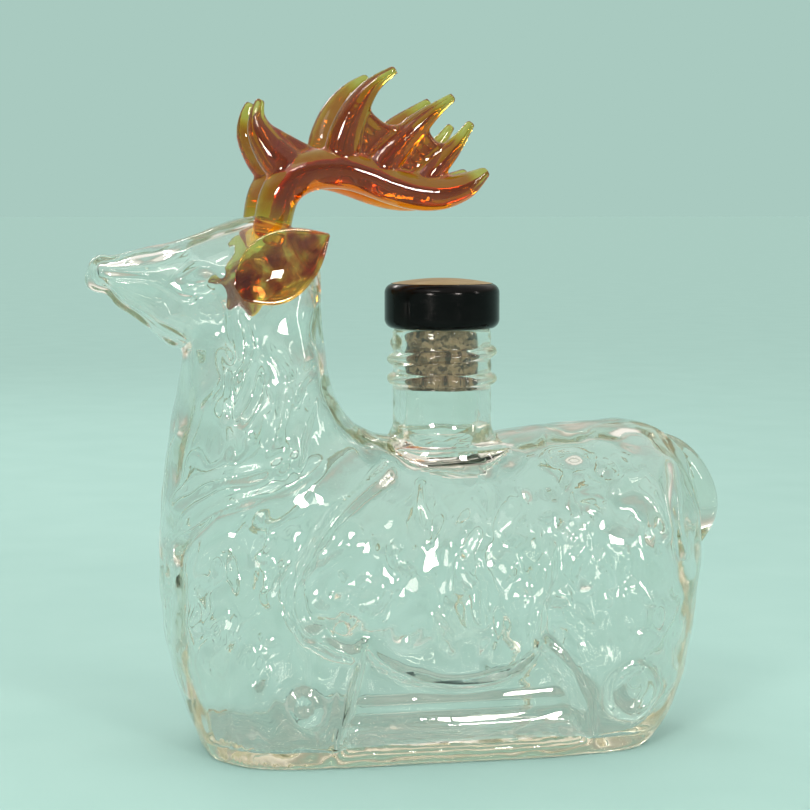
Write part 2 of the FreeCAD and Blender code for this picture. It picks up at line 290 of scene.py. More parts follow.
# Moulded lines on each side of the deer: height, half width, and points along and up
RELIEF_LINES = {
    "shoulder": (1.9, 1.6, [(-17.9, 71.4), (-30.1, 63.3), (-37.8, 54.5), (-42.2, 45.8), (-42.9, 39.9),
                            (-41.0, 35.0), (-35.0, 30.4), (-30.2, 28.5)]),
    "chest_fold": (1.0, 1.5, [(-69.7, 54.9), (-63.3, 61.1), (-58.0, 64.2), (-44.6, 68.4),
                              (-36.3, 73.0)]),
    "neck_fold": (0.9, 1.5, [(-71.0, 62.2), (-65.3, 67.3), (-59.3, 70.5), (-51.9, 71.9), (-42.0, 74.8)]),
    "tail_line": (1.2, 1.4, [(55.2, 70.5), (54.6, 57.0), (56.0, 49.5)]),
    "haunch": (1.7, 1.6, [(39.0, 64.2), (44.2, 64.0), (48.6, 59.7), (49.2, 55.4), (46.6, 54.3)]),
    "thigh_front": (1.8, 1.6, [(20.6, 53.2), (17.6, 43.8), (16.4, 33.0), (17.0, 29.6)]),
    "thigh_loop": (1.0, 1.4, [(24.4, 50.7), (25.4, 55.3), (28.7, 58.1), (29.2, 55.2), (26.7, 50.6),
                              (24.5, 47.0)]),
    "rump_fold": (0.8, 1.5, [(24.9, 73.7), (35.4, 72.2), (38.5, 68.4), (47.4, 65.9)]),
    "hock": (1.2, 1.3, [(47.7, 16.0), (45.9, 20.2), (41.7, 22.0), (37.5, 20.2), (35.7, 16.0),
                        (37.5, 11.8), (41.7, 10.0), (45.9, 11.8), (47.7, 16.0)]),
    "hock_dimple": (-0.9, 2.0, [(40.4, 18.0), (41.7, 15.0), (43.6, 13.6)]),
    "knee": (1.1, 1.2, [(-38.2, 16.0), (-40.9, 18.7), (-43.6, 16.0), (-40.9, 13.3), (-38.2, 16.0)]),
    "foreleg": (0.8, 1.5, [(-26.5, 31.0), (-31.6, 22.8), (-33.1, 14.6), (-34.6, 3.0)]),
    "hind_leg": (0.7, 1.6, [(16.2, 28.8), (22.8, 24.8), (26.7, 19.7), (29.3, 13.1), (28.8, 6.2)]),
    "mouth_crease": (-0.5, 0.9, [(-84.0, 118.0), (-74.5, 117.4), (-68.5, 113.6), (-64.9, 113.0)]),
    "muzzle_crease": (-0.4, 1.1, [(-88.6, 121.8), (-74.3, 121.7), (-65.8, 125.8)]),
    "eye": (-1.2, 1.8, [(-63.6, 116.5), (-61.8, 117.1)]),
    "brow": (0.5, 1.2, [(-67.5, 118.0), (-63.0, 120.7), (-58.6, 119.1)]),
}

# Coat: low and high along, low and high up, number, length, lean in degrees, half width, height
COAT_AREAS = {
    "neck": (-57.6, -37.1, 76.3, 106.0, 24, 12.0, 8.0, 1.7, 0.80),
    "flank": (-10.6, 22.1, 30.0, 66.0, 40, 9.5, 4.0, 1.5, 0.70),
    "shoulder": (-39.7, -13.0, 33.0, 58.9, 30, 4.5, 50.0, 1.4, 0.65),
    "chest": (-65.5, -44.1, 20.0, 55.0, 34, 7.0, 25.0, 1.5, 0.60),
    "thigh": (24.0, 50.0, 24.0, 62.0, 32, 6.5, -20.0, 1.4, 0.65),
    "back": (26.0, 52.0, 62.0, 74.0, 12, 6.0, 70.0, 1.3, 0.55),
}
STROKE_LEAN = 16.0
STROKE_BOW = 0.22
STROKE_LENGTHS = (0.6, 1.3)
STROKE_HEIGHTS = (0.5, 1.2)
STROKE_WIDTHS = (0.75, 1.2)
STROKE_RAISED = 0.7
RELIEF_SINK = 1.0
RELIEF_FADE = 3
RELIEF_TURN = (0.12, 0.5)
COAT_SEED = 20

# Waves of the blown glass
RIPPLE_SEED = 7
RIPPLE_WAVES = 16
RIPPLE_LENGTHS = (0.7, 1.4)
OUTER_RIPPLE = 0.10
OUTER_RIPPLE_LENGTH = 9.0
INNER_RIPPLE = 0.30
INNER_RIPPLE_LENGTH = 13.0

# Mesh counts
OUTER_RINGS = 310
OUTER_AROUND = 216
INNER_RINGS = 130
INNER_AROUND = 96
SEAT_RINGS = 160
SEAT_AROUND = 96
MOUTH_AROUND = 144
BORE_AROUND = 96
HEAD_AROUND = 128
INLAY_RINGS = 24
TAIL_RINGS = 40
TAIL_AROUND = 40
ROD_RINGS = 60
ROD_AROUND = 32
AXIS_AROUND = 4
EAR_RINGS = 60
EAR_AROUND = 64
STROKE_POINTS = 5
LINE_POINTS = 28

# Step between rings of a profile, reach of the weld, and turns in degrees that stay sharp
RING_STEP = 0.3
WELD_GAP = 0.005
GLASS_SHARP = 75
EAR_SHARP = 60
STOPPER_SHARP = 40

# Colours, and shares of roughness, along a value from 0 to 1
GLASS_STOPS = [(0.3, (0.93, 0.955, 0.93)), (0.7, (0.985, 0.99, 0.98))]
ANTLER_STOPS = [(0.05, (0.60, 0.18, 0.0)), (0.36, (0.70, 0.41, 0.02)), (0.70, (0.78, 0.62, 0.12))]
EAR_STOPS = [(0.20, (0.34, 0.04, 0.012)), (0.36, (0.62, 0.22, 0.04)), (0.60, (0.76, 0.63, 0.14))]
BLACK_STOPS = [(0.3, (0.001,) * 3), (0.75, (0.003,) * 3)]
SCUFF_STOPS = [(0.4, (0.10,) * 3), (0.8, (0.26,) * 3)]
WOOD_STOPS = [(0.3, (0.17, 0.12, 0.05)), (0.5, (0.30, 0.22, 0.10)), (0.7, (0.38, 0.295, 0.155))]
PORE_STOPS = [(0.35, (0.62,) * 3), (0.7, (0.42,) * 3)]
CORK_STOPS = [(0.36, (0.045, 0.03, 0.014)), (0.48, (0.17, 0.115, 0.055)), (0.64, (0.36, 0.26, 0.14))]
FLOOR_STOPS = [(0.3, (0.366, 0.61, 0.573)), (0.7, (0.384, 0.63, 0.592))]
WORLD_STOPS = [(0.0, (0.397, 0.59, 0.527)), (0.10, (0.397, 0.59, 0.527)), (0.21, (0.37, 0.50, 0.44)),
               (0.36, (0.50, 0.49, 0.42)), (0.50, (1.05, 0.98, 0.90)), (1.0, (1.0, 0.98, 0.95))]

# Floor, and its look through the glass
FLOOR_REACH = 60000.0
FLOOR_DROP = 0.2
FLOOR_GLOW = (0.42, 0.63, 0.565)
FLOOR_GLOW_SHARE = 0.5

# Lamps: the sun's spread, and each softbox's place, aim height, size, watts, colour and spread
SUN_SPREAD = 25
SOFTBOXES = {
    "key": ((-500, -900, 900), 70, (320, 100), 2.0, (1.0, 0.90, 0.84), 180),
    "window": ((380, -1150, 330), 70, (210, 150), 0.5, (1.0, 0.90, 0.84), 50),
    "low": ((-720, -950, 240), 70, (180, 150), 0.4, (1.0, 0.90, 0.84), 50),
    "side": ((900, -500, 400), 70, (80, 300), 1.2, (1.0, 0.92, 0.87), 180),
    "rim": ((-300, 900, 700), 80, (360, 80), 1.3, (1.0, 0.94, 0.90), 180),
}

# Camera, fitted to the photograph
PHOTO_PIXELS = 810
FOCAL_PIXELS = 2207.8
SENSOR_WIDTH = 36.0
CLIP_START = 0.01

ANTLER_NODES = ["antler_beam", "brow_tine", "first_crown_tine", "second_crown_tine", "third_crown_tine"]


def smooth_through(knots, rows, places):
    """Natural cubic spline through rows of numbers, read at the places along the knots."""
    knots = np.asarray(knots, float)
    places = np.asarray(places, float)
    rows = np.asarray(rows, float)
    flat = rows.reshape(len(knots), -1)
    gaps = np.diff(knots)
    slopes = np.diff(flat, axis=0) / gaps[:, None]
    system = np.eye(len(knots))
    wanted = np.zeros_like(flat)
    for i in range(1, len(knots) - 1):
        system[i, i - 1:i + 2] = gaps[i - 1], 2 * (gaps[i - 1] + gaps[i]), gaps[i]
        wanted[i] = 6 * (slopes[i] - slopes[i - 1])
    bends = np.linalg.solve(system, wanted)
    piece = np.clip(np.searchsorted(knots, places) - 1, 0, len(gaps) - 1)
    gap = gaps[piece][:, None]
    ahead = knots[piece + 1][:, None] - places[:, None]
    behind = places[:, None] - knots[piece][:, None]
    out = bends[piece] * ahead ** 3 / (6 * gap) + bends[piece + 1] * behind ** 3 / (6 * gap)
    out += (flat[piece] / gap - bends[piece] * gap / 6) * ahead
    out += (flat[piece + 1] / gap - bends[piece + 1] * gap / 6) * behind
    return out.reshape((len(places),) + rows.shape[1:])


def through(points, places):
    """Spline through points, read at places counted in points from the first."""
    return smooth_through(np.arange(len(points)), points, places)


def smooth_step(low, high, value):
    """0 below low, 1 above high, and an even rise between."""
    share = np.clip((value - low) / (high - low), 0, 1)
    return share * share * (3 - 2 * share)


def soft_floor(height, level, softness):
    """Heights kept above a level, with a rounded turn."""
    share = np.clip(0.5 + 0.5 * (height - level) / softness, 0, 1)
    return level + (height - level) * share + softness * share * (1 - share)


def unit(vector):
    """The same direction, with a length of 1."""
    return vector / np.linalg.norm(vector)


def full_turn(around):
    """Angles of the points round a closed ring."""
    return 2 * math.pi * np.arange(around) / around


def oval_ring(middle, up, half_height, half_width, low_square, high_square, around):
    """Closed oval of points across the deer, with its two halves as square as asked."""
    turn = full_turn(around)
    rise = np.cos(turn)
    reach = np.sin(turn)
    square = np.where(rise >= 0, high_square, low_square)
    size = np.abs(rise / half_height) ** square + np.abs(reach / half_width) ** square
    radius = size ** (-1 / square)
    return middle + np.outer(radius * rise, up) + np.outer(radius * reach, ACROSS)


def point(x, z):
    """Point in the deer's middle plane."""
    return np.array([x, 0.0, z])


def figure_stations():
    """Back point, keel point, half width and keel squareness of every section, rump to nose."""
    stations = []
    for back_along, back_up, keel_along, keel_up, half_width, square in TORSO_SHARES:
        back_x = back_along * (RUMP_REACH if back_along > 0 else NAPE_REACH)
        keel_x = keel_along * (RUMP_REACH if keel_along > 0 else CHEST_REACH)
        back = point(back_x, back_up * BACK_HEIGHT)
        keel = point(keel_x, keel_up * BACK_HEIGHT)
        stations.append((back, keel, half_width * TORSO_WIDTH, square))
    parts = ((NECK_SHARES, NECK_DEPTH, NECK_WIDTH), (HEAD_SHARES, HEAD_LENGTH, HEAD_WIDTH))
    for table, depth, width in parts:
        for back_along, back_up, keel_along, keel_up, half_width in table:
            back = point(-NAPE_REACH - back_along * depth, BACK_HEIGHT + back_up * HEAD_RISE)
            keel = point(-NAPE_REACH - keel_along * depth, BACK_HEIGHT + keel_up * HEAD_RISE)
            stations.append((back, keel, half_width * width, ROUND_SQUARE))
    return stations


def rounded_end(station, tip):
    """Further sections that round the figure off from a station to its tip."""
    back, keel, half_width, square = station
    middle = (back + keel) / 2
    half = (back - keel) / 2
    stations = []
    for step in range(1, END_STEPS + 1):
        turn = END_TURN_SHARE * math.pi / 2 * step / END_STEPS
        along = math.sin(turn) ** (2 / END_SQUARE)
        size = math.cos(turn) ** (2 / END_SQUARE)
        centre = middle + (tip - middle) * along
        stations.append((centre + half * size, centre - half * size, half_width * size, square))
    return stations


def figure_grid(inset, rings, around, hollow=False):
    """Rings over the deer's form, drawn in by the inset, and its tips; a hollow stops short of the nose."""
    stations = []
    for back, keel, half_width, square in figure_stations():
        draw_in = unit(back - keel) * inset
        stations.append((back - draw_in, keel + draw_in, half_width - inset, square))
    rump = point(RUMP_REACH - inset, RUMP_TIP_SHARE * BACK_HEIGHT)
    nose = point(-NAPE_REACH - HEAD_LENGTH, BACK_HEIGHT + NOSE_TIP_SHARE * HEAD_RISE)
    if hollow:
        middle = (stations[-1][0] + stations[-1][1]) / 2
        nose = middle + (nose - middle) * HOLLOW_NOSE_SHARE
    stations = rounded_end(stations[0], rump)[::-1] + stations + rounded_end(stations[-1], nose)
    loops = []
    for back, keel, half_width, square in stations:
        half_height = np.linalg.norm(back - keel) / 2
        up = (back - keel) / (2 * half_height)
        middle = (back + keel) / 2
        loops.append(oval_ring(middle, up, half_height, half_width, square, BACK_SQUARE, around))
    steps = np.linalg.norm(np.diff(loops, axis=0), axis=2).mean(axis=1)
    knots = np.concatenate([[0], np.cumsum(steps)])
    return smooth_through(knots, loops, np.linspace(0, knots[-1], rings)), rump, nose


def grid_normals(grid):
    """Outward directions at the points of a grid of closed rings."""
    along = np.gradient(grid, axis=0)
    round_the_ring = (np.roll(grid, -1, axis=1) - np.roll(grid, 1, axis=1)) / 2
    normals = np.cross(along, round_the_ring)
    normals /= np.linalg.norm(normals, axis=2, keepdims=True) + 1e-9
    outward = grid - grid.mean(axis=1, keepdims=True)
    return normals * np.sign((normals * outward).sum(axis=2).mean())


def ridge(x, z, points, width):
    """1 along a line through the points, fading to 0 at about twice the half width."""
    nearest = np.full(x.shape, np.inf)
    for (x0, z0), (x1, z1) in zip(points, points[1:]):
        run_x = x1 - x0
        run_z = z1 - z0
        share = np.clip(((x - x0) * run_x + (z - z0) * run_z) / (run_x ** 2 + run_z ** 2), 0, 1)
        gap = (x - x0 - share * run_x) ** 2 + (z - z0 - share * run_z) ** 2
        nearest = np.minimum(nearest, gap)
    return np.exp(-nearest / width ** 2)


def coat_strokes():
    """Short bowed strokes of the coat: points, height and half width, the same on each run."""
    draw = np.random.default_rng(COAT_SEED)
    strokes = []
    for low_x, high_x, low_z, high_z, number, length, lean, width, rise in COAT_AREAS.values():
        for _ in range(number):
            middle = np.array([draw.uniform(low_x, high_x), draw.uniform(low_z, high_z)])
            turn = math.radians(lean + draw.normal() * STROKE_LEAN)
            reach = length * draw.uniform(*STROKE_LENGTHS) / 2
            along = np.array([math.sin(turn), math.cos(turn)])
            aside = np.array([along[1], -along[0]]) * draw.normal() * STROKE_BOW
            places = np.linspace(-1, 1, STROKE_POINTS)
            points = [middle + reach * (share * along + (share ** 2 - 0.5) * aside) for share in places]
            height = rise * draw.uniform(*STROKE_HEIGHTS) * (1 if draw.uniform() < STROKE_RAISED else -1)
            strokes.append((points, height, width * draw.uniform(*STROKE_WIDTHS)))
    return strokes


def raised_lines():
    """Every moulded line and stroke: points, height and half width."""
    lines = []
    for height, width, points in RELIEF_LINES.values():
        places = np.linspace(0, len(points) - 1, LINE_POINTS)
        lines.append((through(points, places), height, width))
    return lines + coat_strokes()


def with_relief(grid):
    """Grid with the deer's limbs, folds and coat raised on both sides."""
    normals = grid_normals(grid)
    facing = smooth_step(*RELIEF_TURN, np.abs(normals[..., 1])).ravel()
    x = grid[..., 0].ravel()
    z = grid[..., 2].ravel()
    height = np.full(x.shape, -RELIEF_SINK)
    for points, rise, width in raised_lines():
        points = np.array(points)
        low = points.min(axis=0) - RELIEF_FADE * width
        high = points.max(axis=0) + RELIEF_FADE * width
        near = (x > low[0]) & (x < high[0]) & (z > low[1]) & (z < high[1])
        height[near] += rise * ridge(x[near], z[near], points, width)
    return grid + normals * (height * facing).reshape(grid.shape[:2])[..., None]


def with_ripple(grid, height, length):
    """Grid with the uneven waves of blown glass."""
    draw = np.random.default_rng(RIPPLE_SEED)
    waves = np.zeros(grid.shape[:2])
    for _ in range(RIPPLE_WAVES):
        aim = draw.normal(size=3)
        aim *= 2 * math.pi / (length * draw.uniform(*RIPPLE_LENGTHS) * np.linalg.norm(aim))
        waves += np.sin(grid @ aim + draw.uniform(0, 2 * math.pi))
    return grid + grid_normals(grid) * (waves * height / math.sqrt(RIPPLE_WAVES / 2))[..., None]


def recess_cover(x, z, grow):
    """How far a place on the flank lies inside its recess: 0 outside, 1 on the recess floor."""
    low = PLINTH_HEIGHT - grow
    rise = RECESS_HEIGHT - PLINTH_HEIGHT
    share = np.clip((z - low) / (RECESS_HEIGHT + grow - low), 0, 1)
    front = -FORELEG_SETBACK - grow + share * rise * FORELEG_SLOPE
    rear = HINDLEG_SETBACK + grow - share ** 2 * rise * HINDLEG_SLOPE
    middle = (front + rear) / 2
    half = (rear - front) / 2
    top = RECESS_HEIGHT + grow - BELLY_DROP * (1 - np.clip(np.abs(x - middle) / half, 0, 1) ** 2)
    inside = np.minimum(np.minimum(x - front, rear - x), np.minimum(z - low, top - z))
    return smooth_step(-RECESS_SOFTNESS / 3, RECESS_SOFTNESS, inside)


def press_recesses(grid, wall, grow):
    """Presses the flank recesses into a grid, deeper by the wall and wider by the growth."""
    x, y, z = np.moveaxis(grid, -1, 0)
    streaks = sum(np.exp(-((z - level) / STREAK_WIDTH) ** 2) for level in STREAK_LEVELS)
    reach = np.abs(y)
    floor = np.minimum(reach, RECESS_FLOOR - wall + STREAK_HEIGHT * streaks)
    pressed = grid.copy()
    pressed[..., 1] = np.sign(y) * (reach + (floor - reach) * recess_cover(x, z, grow))
    return pressed


def put_in_scene(name, data):
    """New object in the scene."""
    item = bpy.data.objects.new(name, data)
    scene.collection.objects.link(item)
    return item


def mesh_object(name, vertices, faces):
    """Blender object from points in millimetres."""
    mesh = bpy.data.meshes.new(name)
    mesh.from_pydata([tuple(p) for p in np.asarray(vertices) * MM], [], faces)
    mesh.validate()
    mesh.update()
    return put_in_scene(name, mesh)


def tube_mesh(grid, start, end):
    """Points and outward faces of a closed tube, from rings of points and a tip at each end."""
    rings, around = grid.shape[:2]
    index = np.arange(rings * around).reshape(rings, around)
    follower = np.roll(index, -1, axis=1)
    quads = np.stack([index[:-1], follower[:-1], follower[1:], index[1:]], axis=-1).reshape(-1, 4)
    faces = quads.tolist()
    first = rings * around
    last = first + 1
    for i in range(around):
        faces.append([first, int(follower[0, i]), int(index[0, i])])
        faces.append([last, int(index[-1, i]), int(follower[-1, i])])
    vertices = np.vstack([grid.reshape(-1, 3), start, end])
    corners = vertices[quads] - vertices.mean(axis=0)
    volume = np.einsum("ij,ij->i", corners[:, 0], np.cross(corners[:, 1], corners[:, 2])).sum()
    if volume < 0:
        faces = [face[::-1] for face in faces]
    return vertices, faces


def closed_tube(name, grid, start, end):
    """Closed object from rings of points, with a tip at each end."""
    return mesh_object(name, *tube_mesh(grid, start, end))


def lathe(name, profile, around, bulge=None):
    """Closed object turned about the mouth's axis from a (radius, height) profile, axis to axis."""
    profile = np.array(profile, float)
    inner = profile[1:-1]
    turn = full_turn(around)
    radius = np.repeat(inner[:, :1], around, axis=1)
    height = np.repeat(inner[:, 1:], around, axis=1)
    if bulge is not None:
        radius = radius + bulge(turn[None, :], height, radius)
    grid = np.stack([radius * np.cos(turn), radius * np.sin(turn), height], axis=-1)
    return closed_tube(name, grid, point(0, profile[0, 1]), point(0, profile[-1, 1]))


def arc_points(centre, radius, start, end, steps):
    """(radius, height) points on an arc, between two angles in degrees."""
    turns = np.radians(np.linspace(start, end, steps))
    return [(centre[0] + radius * math.cos(t), centre[1] + radius * math.sin(t)) for t in turns]


def run_points(start, end, step):
    """(radius, height) points on a straight run, about a step apart."""
    start = np.array(start, float)
    end = np.array(end, float)
    count = max(2, int(np.linalg.norm(end - start) / step) + 1)
    return [tuple(start + (end - start) * share) for share in np.linspace(0, 1, count)]


def combine(piece, other, operation):
    """Boolean of two closed objects; the second is used up."""
    modifier = piece.modifiers.new(operation.lower(), "BOOLEAN")
    modifier.operation = operation
    modifier.solver = "MANIFOLD"
    modifier.object = other
    settle(piece)
    bpy.data.objects.remove(other)


def settle(piece):
    """Applies a piece's modifiers to its mesh."""
    depsgraph = bpy.context.evaluated_depsgraph_get()
    mesh = bpy.data.meshes.new_from_object(piece.evaluated_get(depsgraph))
    piece.modifiers.clear()
    old = piece.data
    piece.data = mesh
    bpy.data.meshes.remove(old)


def weld(piece):
    """Joins points that coincide and drops slivers that are folded flat."""
    mesh = bmesh.new()
    mesh.from_mesh(piece.data)
    bmesh.ops.remove_doubles(mesh, verts=mesh.verts, dist=WELD_GAP * MM)
    bmesh.ops.dissolve_degenerate(mesh, edges=mesh.edges, dist=WELD_GAP * MM)
    bmesh.ops.triangulate(mesh, faces=[face for face in mesh.faces if len(face.verts) > 4])
    alike = {}
    for face in mesh.faces:
        alike.setdefault(frozenset(face.verts), []).append(face)
    folded = [face for faces in alike.values() if len(faces) > 1 for face in faces]
    bmesh.ops.delete(mesh, geom=folded, context="FACES")
    mesh.to_mesh(piece.data)
    mesh.free()


def shade(piece, sharp):
    """Smooth shading, apart from edges that turn by more than an angle in degrees."""
    piece.data.shade_smooth()
    piece.data.set_sharp_from_angle(angle=math.radians(sharp))


def thread_bulge(turn, height, radius):
    """Rounded helical ridge round the mouth, fading in and out, and a ripple of the glass."""
    length = THREAD_PITCH * THREAD_TURNS
    start = LIP_HEIGHT - THREAD_DROP - length
    thread = np.zeros_like(height)
    for lap in range(-1, int(THREAD_TURNS) + 2):
        along = turn / (2 * math.pi) + lap
        level = start + along * THREAD_PITCH
        fade = smooth_step(0, THREAD_FADE, along) * smooth_step(0, THREAD_FADE, THREAD_TURNS - along)
        profile = np.clip(1 - ((height - level) / THREAD_PROUD) ** 2, 0, 1) ** THREAD_ROUND
        thread = np.maximum(thread, THREAD_PROUD * fade * profile)
    rise = 2 * math.pi * height / MOUTH_RIPPLE_LENGTH
    ripple = MOUTH_RIPPLE * np.sin(rise + 2 * np.sin(2 * turn))
    ripple = ripple * np.sin(MOUTH_RIPPLE_LOBES * turn + rise / 2)
    return np.where(radius > BORE_RADIUS + LIP_ROUND, thread + ripple, 0)


def mouth_solid():
    """Threaded mouth with its ring and swept foot, without its bore."""
    foot = BACK_HEIGHT - MOUTH_FLARE - MOUTH_SINK
    sweep_radius = MOUTH_FLARE * SWEEP_SHARE
    sweep_level = BACK_HEIGHT + MOUTH_FLARE
    bead_level = LIP_HEIGHT - BEAD_DROP
    below_bead = bead_level - BEAD_RADIUS - RING_STEP
    above_bead = bead_level + BEAD_RADIUS + BEAD_STEP
    rim_level = LIP_HEIGHT - LIP_ROUND
    profile = [(0, foot), (MOUTH_RADIUS + sweep_radius, foot)]
    profile += arc_points((MOUTH_RADIUS + sweep_radius, sweep_level), sweep_radius, 265, 180, steps=12)
    profile += run_points((MOUTH_RADIUS, sweep_level + SWEEP_STEP), (MOUTH_RADIUS, below_bead), step=1)
    profile += arc_points((MOUTH_RADIUS, bead_level), BEAD_RADIUS, -80, 80, steps=9)
    profile += run_points((MOUTH_RADIUS, above_bead), (MOUTH_RADIUS, rim_level), step=0.28)
    profile += arc_points((MOUTH_RADIUS - LIP_ROUND, rim_level), LIP_ROUND, 15, 90, steps=5)
    profile += [(0, LIP_HEIGHT)]
    return lathe("mouth", profile, MOUTH_AROUND, thread_bulge)


def bore_solid():
    """The bore of the mouth, flared at the rim."""
    foot = BACK_HEIGHT - BORE_SINK
    rim_level = LIP_HEIGHT - LIP_ROUND
    flare = BORE_RADIUS + LIP_ROUND
    profile = [(0, foot)]
    profile += run_points((BORE_RADIUS, foot), (BORE_RADIUS, rim_level), step=4)
    profile += arc_points((flare, rim_level), LIP_ROUND, 165, 92, steps=5)
    profile += [(flare, LIP_HEIGHT + BORE_OVERSHOOT), (0, LIP_HEIGHT + BORE_OVERSHOOT)]
    return lathe("bore", profile, BORE_AROUND)


def tail_solid():
    """Short tail pressed on over the rump."""
    path = [point(along * RUMP_REACH, up * BACK_HEIGHT) for along, up, _, _ in TAIL_SHARES]
    loops = []
    for i, (_, _, width, thickness) in enumerate(TAIL_SHARES):
        along = unit(path[min(i + 1, len(path) - 1)] - path[max(i - 1, 0)])
        up = np.array([-along[2], 0.0, along[0]])
        half_height = thickness * TAIL_BULGE
        half_width = width * TAIL_WIDTH / 2
        loops.append(oval_ring(path[i], up, half_height, half_width, OVAL_SQUARE, OVAL_SQUARE, TAIL_AROUND))
    grid = through(loops, np.linspace(0, len(loops) - 1, TAIL_RINGS))
    return closed_tube("tail_form", grid, path[0], path[-1])


def glass_deer():
    """The whole blown figure in one seamless piece: body, mouth and tail, hollow inside."""
    grid, rump, nose = figure_grid(0, OUTER_RINGS, OUTER_AROUND)
    grid = with_ripple(with_relief(grid), OUTER_RIPPLE, OUTER_RIPPLE_LENGTH)
    grid = press_recesses(grid, 0, 0)
    grid[..., 2] = soft_floor(grid[..., 2], 0, BASE_ROUND)
    body = closed_tube("glass_deer", grid, rump, nose)
    inner, inner_rump, inner_nose = figure_grid(GLASS_WALL, INNER_RINGS, INNER_AROUND, hollow=True)
    inner = with_ripple(inner, INNER_RIPPLE, INNER_RIPPLE_LENGTH)
    inner = press_recesses(inner, GLASS_WALL, RECESS_INNER_GROW)
    inner[..., 2] = soft_floor(inner[..., 2], BASE_WALL, CAVITY_ROUND)
    cavity = closed_tube("cavity", inner, inner_rump, inner_nose)
    combine(body, mouth_solid(), "UNION")
    combine(body, tail_solid(), "UNION")
    combine(cavity, bore_solid(), "UNION")
    combine(body, cavity, "DIFFERENCE")
    weld(body)
    shade(body, GLASS_SHARP)
    return body


def rod_grid(points, radii, flatness, rings, around):
    """Rings of a drawn-out rod through the points, flatter across the deer than along it."""
    steps = np.linalg.norm(np.diff(points, axis=0), axis=1)
    knots = np.concatenate([[0], np.cumsum(steps)])
    places = np.linspace(0, knots[-1], rings)
    path = smooth_through(knots, points, places)
    radius = np.interp(places, knots, radii)
    tangents = np.gradient(path, axis=0)
    tangents /= np.linalg.norm(tangents, axis=1, keepdims=True)
    turn = full_turn(around)
    loops = []
    for middle, along, size in zip(path, tangents, radius):
        side = unit(ACROSS - along * ACROSS.dot(along))
        up = np.cross(side, along)
        ring = np.outer(np.cos(turn), up) + flatness * np.outer(np.sin(turn), side)
        loops.append(middle + size * ring)
    return np.array(loops), path[0], path[-1]


def antler_point(along, height, outward):
    """Place on the left antler."""
    x = -ANTLER_SETBACK + along * ANTLER_LENGTH
    y = -ANTLER_SPREAD / 2 - outward * ANTLER_SPREAD
    return np.array([x, y, height])


def web(first, second, first_reach, second_reach, sag):
    """Sagging threads that melt into a web between two tines, up to a row of points on each."""
    threads = []
    for share in np.linspace(0, 1, WEB_ROWS):
        start = through(first, [share * first_reach])[0]
        end = through(second, [share * second_reach])[0]
        middle = (start + end) / 2
        middle[2] -= sag * np.linalg.norm(end - start)
        threads.append(([start, middle, end], [WEB_RADIUS] * 3, 1.0))
    return threads


def antler_rods():
    """Points, radii and flatness of every rod of the left antler."""
    rods = []
    points = [antler_point(a, ANTLER_ROOT + up * ANTLER_RISE, out) for a, up, out, _ in BEAM_SHARES]
    rods.append((points, [max(r, TIP_SHARE) * BEAM_RADIUS for *_, r in BEAM_SHARES], 1.0))
    tines = {}
    for name, table in TINE_SHARES.items():
        crown = ANTLER_ROOT + ANTLER_RISE
        points = [antler_point(a, crown + up * TINE_HEIGHT, out) for a, up, out, _ in table]
        tines[name] = points
        rods.append((points, [max(r, TIP_SHARE) * TINE_RADIUS for *_, r in table], TINE_FLATNESS))
    beam_top = rods[0][0][BEAM_TOP]
    rods += web(tines["brow"], beam_top, BROW_REACH, len(beam_top) - 1, BROW_SAG)
    rods += web(tines["first_crown"], tines["second_crown"], WEB_REACH, WEB_REACH, WEB_SAG)
    rods += web(tines["second_crown"], tines["third_crown"], WEB_REACH, WEB_REACH, WEB_SAG)
    return rods


def joined(name, grids):
    """One object from several closed tubes."""
    vertices = []
    faces = []
    for grid, start, end in grids:
        tube_vertices, tube_faces = tube_mesh(grid, start, end)
        faces += [[len(vertices) + i for i in face] for face in tube_faces]
        vertices += list(tube_vertices)
    return mesh_object(name, vertices, faces)


def mirrored(piece, name):
    """The same piece on the deer's right side."""
    mesh = piece.data.copy()
    mesh.name = name
    for vertex in mesh.vertices:
        vertex.co.y = -vertex.co.y
    mesh.flip_normals()
    return put_in_scene(name, mesh)


def seat_on_head(piece):
    """Shapes the root of a fused piece to the deer's head."""
    grid, rump, nose = figure_grid(FUSE_DEPTH, SEAT_RINGS, SEAT_AROUND)
    combine(piece, closed_tube("head_form", grid, rump, nose), "DIFFERENCE")


def store_tint(piece, values):
    """Keeps a value from 0 to 1 at each point of a piece, for its material."""
    layer = piece.data.attributes.new("tint", "FLOAT", "POINT")
    layer.data.foreach_set("value", np.clip(values, 0, 1).astype(np.float32))


def mesh_arrays(piece):
    """Points in millimetres and normals of a piece."""
    vertices = piece.data.vertices
    values = np.empty((2, len(vertices) * 3), np.float32)
    vertices.foreach_get("co", values[0])
    vertices.foreach_get("normal", values[1])
    return values[0].reshape(-1, 3) / MM, values[1].reshape(-1, 3)


def gap_to(places, points):
    """Distance from each place to the nearest of some points."""
    return np.min([np.linalg.norm(places - spot, axis=1) for spot in points], axis=0)


